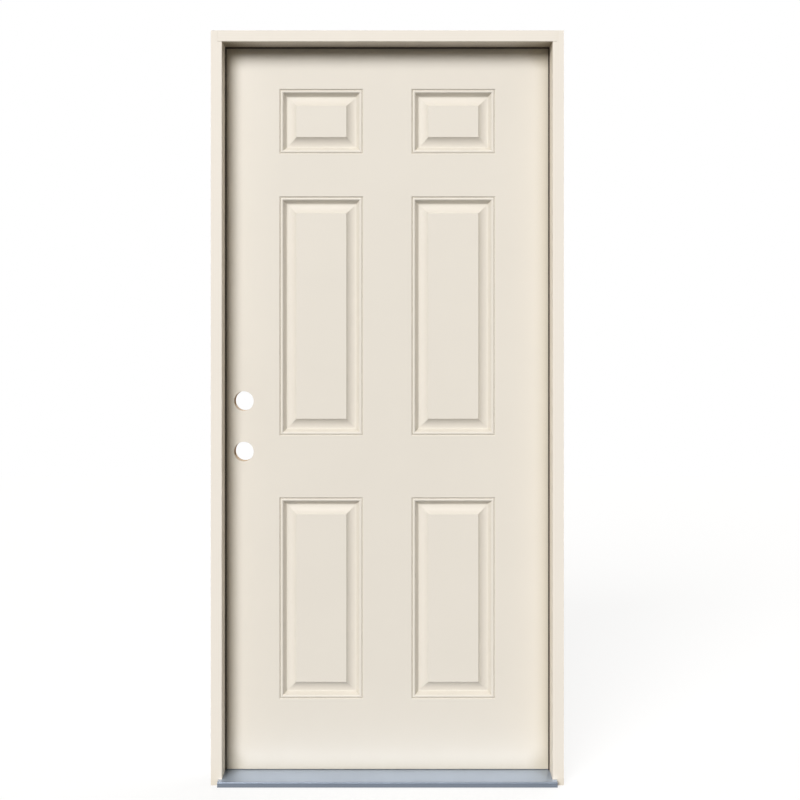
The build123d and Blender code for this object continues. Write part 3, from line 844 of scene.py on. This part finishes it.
class DOOR_OT_skins(Operator):
    """Presses the two steel skins: six moulded panels, folded long edges, lock bores and hinge cut-outs"""

    bl_idname = "front_door.skins"
    bl_label = "Steel skins"

    def panel_rows(self, sizes):
        """Foot and head of each row of panels."""
        rows = []
        foot = OUTDOOR_LOW.z + sizes.bottom_rail
        for height, rail in (
            (sizes.bottom_panel, sizes.lock_rail),
            (sizes.middle_panel, sizes.frieze_rail),
            (sizes.top_panel, 0.0),
        ):
            rows.append((foot, foot + height))
            foot += height + rail
        return rows

    def press(self, sizes):
        """The outdoor skin before it is bored."""
        half = OUTDOOR_HIGH.x
        face = OUTDOOR_LOW.y
        rows = self.panel_rows(sizes)
        inner = sizes.mullion / 2
        outer = inner + sizes.panel_width

        def in_panel(middle, normal):
            across = inner < abs(middle.x) < outer
            return across and any(low < middle.z < high for low, high in rows)

        deselect()
        middle = (0.0, face, (OUTDOOR_LOW.z + OUTDOOR_HIGH.z) / 2)
        bpy.ops.mesh.primitive_plane_add(size=1, location=middle, rotation=(math.pi / 2, 0.0, 0.0))
        bpy.context.object.scale = (half * 2, OUTDOOR_HIGH.z - OUTDOOR_LOW.z, 1.0)
        skin = settle(bpy.context.object, "outdoor_skin")
        edit(skin)
        cuts = [((x, 0.0, 0.0), (1.0, 0.0, 0.0)) for x in (-outer, -inner, inner, outer)]
        cuts += [((0.0, 0.0, z), (0.0, 0.0, 1.0)) for row in rows for z in row]
        for point, normal in cuts:
            bpy.ops.mesh.select_all(action="SELECT")
            bpy.ops.mesh.bisect(plane_co=point, plane_no=normal)
        pick_faces(skin, in_panel)
        points = moulding_points(sizes)
        for (start, high), (end, low) in zip(points, points[1:]):
            bpy.ops.mesh.inset(thickness=end - start, depth=high - low, use_individual=True)
        near = sizes.crease / 10
        pick_edges(skin, lambda point: abs(abs(point.x) - half) < near)
        bpy.ops.mesh.extrude_edges_move(TRANSFORM_OT_translate={"value": (0.0, sizes.flange, 0.0)})
        pick_edges(skin, lambda point: abs(abs(point.x) - half) < near and abs(point.y - face) < near)
        round_edges(sizes.fold, FOLD_STEPS)
        bpy.ops.mesh.select_all(action="SELECT")
        bpy.ops.mesh.normals_make_consistent(inside=False)
        deselect()
        return skin

    def crease_mitres(self, skin, sizes):
        """Keeps the slanting mitres sharp, so that each side of a moulding is shaded by itself."""
        edit(skin)
        bpy.ops.mesh.select_mode(type="EDGE")
        mesh = bmesh.from_edit_mesh(skin.data)
        near = sizes.crease / 20
        for edge in mesh.edges:
            run = edge.verts[1].co - edge.verts[0].co
            edge.select_set(abs(abs(run.x) - abs(run.z)) < near and abs(run.x) > near)
        bmesh.update_edit_mesh(skin.data)
        bpy.ops.mesh.mark_sharp()
        deselect()

    def tools(self, sizes):
        """Cutters for the lock bores and the hinge leaves."""
        tools = []
        for bore in BORES:
            x, y, z = bore["pos_m"]
            radius = bore["dims"]["r_mm"] / 1000
            ends = ((x, y - BORE_REACH, z), (x, y + BORE_REACH, z))
            tools.append(add_round("bore_cutter", radius, *ends, BORE_SIDES))
        play = sizes.leaf_play
        rise = sizes.leaf_height / 2 + play
        for height in HINGE_HEIGHTS.values():
            low = (OUTDOOR_HIGH.x - sizes.leaf_thickness, PIN_Y - sizes.leaf_width - play, height - rise)
            high = (OUTDOOR_HIGH.x + sizes.barrel, PIN_Y + sizes.barrel, height + rise)
            tools.append(add_block("leaf_cutter", low, high))
        return tools

    def execute(self, context):
        sizes = context.scene.front_door_sizes
        outdoor = self.press(sizes)
        if outdoor.data.polygons[0].normal.y > FACING:
            raise RuntimeError("the skin faces inwards")
        finish_with(outdoor, "SOLIDIFY", thickness=sizes.sheet, offset=-1.0, use_even_offset=True)
        indoor = copy_of(outdoor, "indoor_skin")
        flip(indoor, (1.0, -1.0, 1.0), (0.0, (OUTDOOR_LOW.y + INDOOR_FACE) / 2, 0.0))
        for skin, node in ((outdoor, "exterior_skin"), (indoor, "interior_skin")):
            combine(skin, "DIFFERENCE", self.tools(sizes))
            self.crease_mitres(skin, sizes)
            smooth(skin, degrees=32)
            hand_over(skin, "door", "primed_steel", bpy.data.materials["steel_primer"], node)
        return {"FINISHED"}


def screw_places(sizes):
    """Distance from the pin's axis and height of each screw in a leaf."""
    return [
        (sizes.screw_near, -sizes.screw_pitch),
        (sizes.screw_far, 0.0),
        (sizes.screw_near, sizes.screw_pitch),
    ]


class DOOR_OT_hinges(Operator):
    """Makes the hinge leaves with rolled knuckles and countersunk holes, and the pins with domed heads"""

    bl_idname = "front_door.hinges"
    bl_label = "Hinges"

    def leaf(self, sizes, first, name):
        """A leaf on the frame's side of the pin's axis, with every second knuckle from the first."""
        near, far = sizes.leaf_gap, sizes.leaf_gap + sizes.leaf_thickness
        half = sizes.leaf_height / 2
        edge = sizes.barrel + sizes.knuckle_gap
        leaf = add_block(name, (near, -sizes.leaf_width, -half), (far, -edge, half))
        self.ease(leaf, sizes.leaf_ease)
        holes = [self.countersink(sizes, near, far, -reach, rise) for reach, rise in screw_places(sizes)]
        combine(leaf, "DIFFERENCE", holes)
        pitch = sizes.leaf_height / sizes.knuckles
        hair = sizes.pin_clearance
        parts = []
        for knuckle in range(first, sizes.knuckles, 2):
            low = knuckle * pitch + sizes.knuckle_gap / 2 - half
            high = low + pitch - sizes.knuckle_gap
            corner = (near + hair, -edge - sizes.tab_root, low + hair)
            parts.append(add_block("tab", corner, (far - hair, 0.0, high - hair)))
            ends = ((0.0, 0.0, low), (0.0, 0.0, high))
            parts.append(add_round("knuckle", sizes.barrel, *ends, HINGE_SIDES))
            self.ease(parts[-1], sizes.leaf_ease)
        combine(leaf, "UNION", parts)
        ends = ((0.0, 0.0, -sizes.leaf_height), (0.0, 0.0, sizes.leaf_height))
        combine(leaf, "DIFFERENCE", [add_round("pin_hole", sizes.pin + hair, *ends, HINGE_SIDES)])
        smooth(leaf, degrees=25)
        return leaf

    def ease(self, piece, reach):
        """Rounds the sharp edges of a block or a cylinder a little."""
        edit(piece)
        bpy.ops.mesh.select_mode(type="EDGE")
        bpy.ops.mesh.edges_select_sharp(sharpness=SHARP_EDGE)
        round_edges(reach, EASE_STEPS)
        deselect()

    def countersink(self, sizes, near, far, y, z):
        """A cutter that is wide at the face of the leaf and narrow at its back."""
        wide = sizes.screw_head + sizes.leaf_ease
        share = (sizes.screw_neck + sizes.leaf_ease) / wide
        ends = ((far + sizes.leaf_ease, y, z), (near - sizes.pin_clearance, y, z))
        cone = add_round("countersink", wide, *ends, HOLE_SIDES)
        edit(cone)
        pick_faces(cone, facing(RIGHT))
        resize((1.0, share, share), (far, y, z))
        pick_faces(cone, facing(-RIGHT))
        extrude((-sizes.barrel, 0.0, 0.0))
        deselect()
        return cone

    def pin(self, sizes):
        """A pin with a domed head and an eased tail, about its axis."""
        top = (sizes.leaf_height - sizes.knuckle_gap) / 2
        tail = -sizes.leaf_height / 2 - sizes.pin_tail
        crown = top + sizes.pin_head_height
        near = sizes.leaf_ease
        share = sizes.pin_head / sizes.pin
        pin = add_round("pin", sizes.pin, (0.0, 0.0, tail), (0.0, 0.0, top), HINGE_SIDES)
        edit(pin)
        pick_faces(pin, facing(UP))
        extrude((0.0, 0.0, 0.0))
        resize((share, share, 1.0), (0.0, 0.0, top))
        extrude((0.0, 0.0, sizes.pin_head_height))
        pick_edges(pin, lambda point: abs(point.z - crown) < near)
        round_edges(sizes.pin_head_height * PIN_ROUNDING_SHARE, CROWN_STEPS)
        pick_edges(pin, lambda point: abs(point.z - tail) < near)
        round_edges(sizes.pin_tail * PIN_ROUNDING_SHARE, TAIL_STEPS)
        deselect()
        smooth(pin, degrees=35)
        return pin

    def execute(self, context):
        sizes = context.scene.front_door_sizes
        finish = bpy.data.materials["satin_nickel"]
        frame_leaf = self.leaf(sizes, 0, "frame_leaf")
        door_leaf = self.leaf(sizes, 1, "door_leaf")
        flip(door_leaf, (-1.0, 1.0, 1.0), (0.0, 0.0, 0.0))
        models = (
            (frame_leaf, "frame_leaf", "frame"),
            (door_leaf, "door_leaf", "door"),
            (self.pin(sizes), "pin", "frame"),
        )
        for name, height in HINGE_HEIGHTS.items():
            for model, kind, body in models:
                piece = copy_of(model, f"{name}_{kind}_piece")
                move(piece, (PIN_X, PIN_Y, height))
                hand_over(piece, body, "hinge_steel", finish, f"{name}_hinge_{kind}")
        for model, kind, body in models:
            bpy.data.meshes.remove(model.data)
        return {"FINISHED"}


class DOOR_OT_hinge_screws(Operator):
    """Drives the countersunk screws with cross recesses into the hinge leaves"""

    bl_idname = "front_door.hinge_screws"
    bl_label = "Hinge screws"

    def screw(self, sizes):
        """A screw along +X, the face of its head just below the leaf's face."""
        face = sizes.leaf_gap + sizes.screw_sink
        rim = face + sizes.leaf_ease
        neck = face + sizes.leaf_thickness
        shank = neck + sizes.screw_length * SHANK_SHARE
        point = neck + sizes.screw_length
        near = sizes.leaf_ease / 4
        screw = add_round("screw", sizes.screw_head, (face, 0.0, 0.0), (rim, 0.0, 0.0), SCREW_SIDES)
        edit(screw)
        for start, end, share in (
            (rim, neck, sizes.screw_neck / sizes.screw_head),
            (neck, shank, SHANK_END_SHARE),
            (shank, point, POINT_SHARE),
        ):
            pick_faces(screw, lambda middle, normal: normal.x > FACING and middle.x > start - near)
            extrude((end - start, 0.0, 0.0))
            resize((1.0, share, share), (end, 0.0, 0.0))
        deselect()
        combine(screw, "DIFFERENCE", self.recess(sizes, face))
        smooth(screw, degrees=30)
        return screw

    def recess(self, sizes, face):
        """Two crossed cutters that narrow towards their foot, for the recess in a screw's head."""
        arm = sizes.screw_head * RECESS_ARM_SHARE
        wide = sizes.screw_head * RECESS_WIDTH_SHARE
        foot = face + sizes.leaf_thickness * RECESS_DEPTH_SHARE
        mouth = face - sizes.leaf_ease
        cutters = []
        for reach_y, reach_z in ((arm, wide), (wide, arm)):
            cutter = add_block("recess", (mouth, -reach_y, -reach_z), (foot, reach_y, reach_z))
            edit(cutter)
            pick_faces(cutter, facing(RIGHT))
            resize((1.0, RECESS_FOOT_SHARE, RECESS_FOOT_SHARE), (foot, 0.0, 0.0))
            deselect()
            cutters.append(cutter)
        return cutters

    def execute(self, context):
        sizes = context.scene.front_door_sizes
        finish = bpy.data.materials["satin_nickel"]
        frame_screw = self.screw(sizes)
        door_screw = copy_of(frame_screw, "door_screw")
        flip(door_screw, (-1.0, 1.0, 1.0), (0.0, 0.0, 0.0))
        for model, body in ((frame_screw, "frame"), (door_screw, "door")):
            for name, height in HINGE_HEIGHTS.items():
                for count, (reach, rise) in enumerate(screw_places(sizes), 1):
                    piece = copy_of(model, f"{name}_{body}_screw_{count}")
                    move(piece, (PIN_X, PIN_Y - reach, height + rise))
                    hand_over(piece, body, "hinge_steel", finish)
            bpy.data.meshes.remove(model.data)
        return {"FINISHED"}


class DOOR_OT_stage(Operator):
    """Sets the floor, the light and the camera"""

    bl_idname = "front_door.stage"
    bl_label = "Stage"

    def seen(self, tree):
        """One for rays from the camera, and for those that gloss and glass send on."""
        path = tree.nodes.new("ShaderNodeLightPath")
        shown = worked(tree, "MAXIMUM", path.outputs["Is Camera Ray"], path.outputs["Is Glossy Ray"])
        return worked(tree, "MAXIMUM", shown, path.outputs["Is Transmission Ray"])

    def floor(self, stage):
        """A floor that shows white in view and still takes the object's shadow."""
        deselect()
        bpy.ops.mesh.primitive_plane_add(size=stage.floor_size, location=(0.0, stage.floor_back, 0.0))
        floor = settle(bpy.context.object, "stage_floor")
        material, shader = new_material("stage_floor", Roughness=0.9, Specular_IOR_Level=0.0)
        tree = material.node_tree
        seen = self.seen(tree)
        feed(tree, shader, Base_Color=blended(tree, seen, stage.floor_bounce, stage.floor))
        lift = worked(tree, "MULTIPLY", seen, stage.floor_lift)
        glow = add_node(tree, "ShaderNodeEmission", Strength=lift)
        both = add_node(tree, "ShaderNodeAddShader", shader.outputs[0], glow.outputs[0])
        feed(tree, tree.nodes["Material Output"], Surface=both.outputs[0])
        floor.data.materials.append(material)

    def lamp(self, name, place, strength, angle):
        """A wide, soft lamp that shines from a place to the origin."""
        deselect()
        turn = place.to_track_quat("Z", "Y").to_euler()
        bpy.ops.object.light_add(type="SUN", location=place, rotation=turn)
        lamp = bpy.context.object
        lamp.name = name
        lamp.data.energy = strength
        lamp.data.angle = angle

    def light(self, scene, stage):
        """Even light all round, with a backdrop of its own colour in view, and two lamps."""
        world = bpy.data.worlds.new("stage_light")
        world.use_nodes = True
        scene.world = world
        tree = world.node_tree
        sky = next(node for node in tree.nodes if node.type == "BACKGROUND")
        seen = self.seen(tree)
        feed(
            tree,
            sky,
            Color=blended(tree, seen, stage.fill_tint, stage.backdrop),
            Strength=ranged(tree, seen, stage.fill, 1.0),
        )
        key = Vector(stage.key_from) * stage.lamp_distance
        self.lamp("stage_key", key, stage.key_strength, stage.key_angle)
        back = Vector(stage.back_from) * stage.lamp_distance
        self.lamp("stage_back", back, stage.back_strength, stage.back_angle)

    def camera(self, scene, stage):
        """A level camera outdoors, square to the door."""
        deselect()
        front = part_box("head_jamb")[0].y
        place = (0.0, front - stage.distance, stage.height)
        bpy.ops.object.camera_add(location=place, rotation=(math.pi / 2, 0.0, 0.0))
        camera = bpy.context.object
        camera.name = "stage_camera"
        camera.data.sensor_width = stage.sensor
        camera.data.lens = stage.lens
        camera.data.shift_x = stage.shift_x
        camera.data.shift_y = stage.shift_y
        scene.camera = camera

    def execute(self, context):
        scene = context.scene
        stage = scene.front_door_stage
        self.floor(stage)
        self.light(scene, stage)
        self.camera(scene, stage)
        scene.view_settings.view_transform = "Standard"
        return {"FINISHED"}


class DOOR_PT_front_door(Panel):
    """Lists the steps in their order with the sizes, the colours and the stage"""

    bl_idname = "DOOR_PT_front_door"
    bl_label = "Front door"
    bl_space_type = "VIEW_3D"
    bl_region_type = "UI"
    bl_category = "Front door"

    def draw(self, context):
        scene = context.scene
        for step in STEPS:
            self.layout.operator(step.bl_idname)
        for values in (scene.front_door_sizes, scene.front_door_colours, scene.front_door_stage):
            box = self.layout.box()
            for key in values.bl_rna.properties.keys():
                if key not in ("rna_type", "name"):
                    box.prop(values, key)


STEPS = (DOOR_OT_finishes, DOOR_OT_skins, DOOR_OT_hinges, DOOR_OT_hinge_screws, DOOR_OT_stage)
CLASSES = (DoorSizes, DoorColours, StageSettings, *STEPS, DOOR_PT_front_door)


def register():
    for cls in CLASSES:
        bpy.utils.register_class(cls)
    bpy.types.Scene.front_door_sizes = PointerProperty(type=DoorSizes)
    bpy.types.Scene.front_door_colours = PointerProperty(type=DoorColours)
    bpy.types.Scene.front_door_stage = PointerProperty(type=StageSettings)


def unregister():
    del bpy.types.Scene.front_door_stage
    del bpy.types.Scene.front_door_colours
    del bpy.types.Scene.front_door_sizes
    for cls in reversed(CLASSES):
        bpy.utils.unregister_class(cls)


def main():
    """Dresses the door and sets the stage."""
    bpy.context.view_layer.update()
    register()
    bpy.ops.front_door.finishes()
    bpy.ops.front_door.skins()
    bpy.ops.front_door.hinges()
    bpy.ops.front_door.hinge_screws()
    bpy.ops.front_door.stage()
    deselect()


if __name__ == "__main__":
    main()
